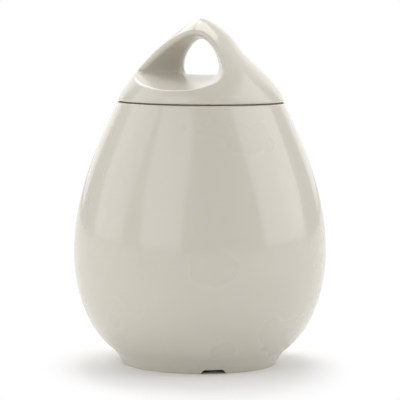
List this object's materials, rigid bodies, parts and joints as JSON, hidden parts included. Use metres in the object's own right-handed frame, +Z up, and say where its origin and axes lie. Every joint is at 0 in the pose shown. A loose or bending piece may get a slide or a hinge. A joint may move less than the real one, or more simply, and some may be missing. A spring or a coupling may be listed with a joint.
{
  "type": "porcelain egg coddler",
  "caption": "Egg-shaped porcelain pot on a notched foot ring, with a lift-off lid that ends the egg and is scooped through into a twisted finger loop.",
  "frame": {"origin": "centre of the foot ring, on the table", "axes": "+Z up along the egg's axis, -Y towards the front, where the finger gap is seen through and one drain notch is"},
  "size_m": [0.14, 0.14, 0.1911],
  "materials": {
    "pot_porcelain": "gloss",
    "lid_porcelain": "gloss"
  },
  "bodies": {
    "pot": {"pot": "pot_porcelain"},
    "lid": {"lid": "lid_porcelain"}
  },
  "joints": [
    {"name": "lid_lift", "type": "slide", "parent": "pot", "child": "lid", "axis": [0, 0, 1], "range_m": [0, 0.1]}
  ]
}
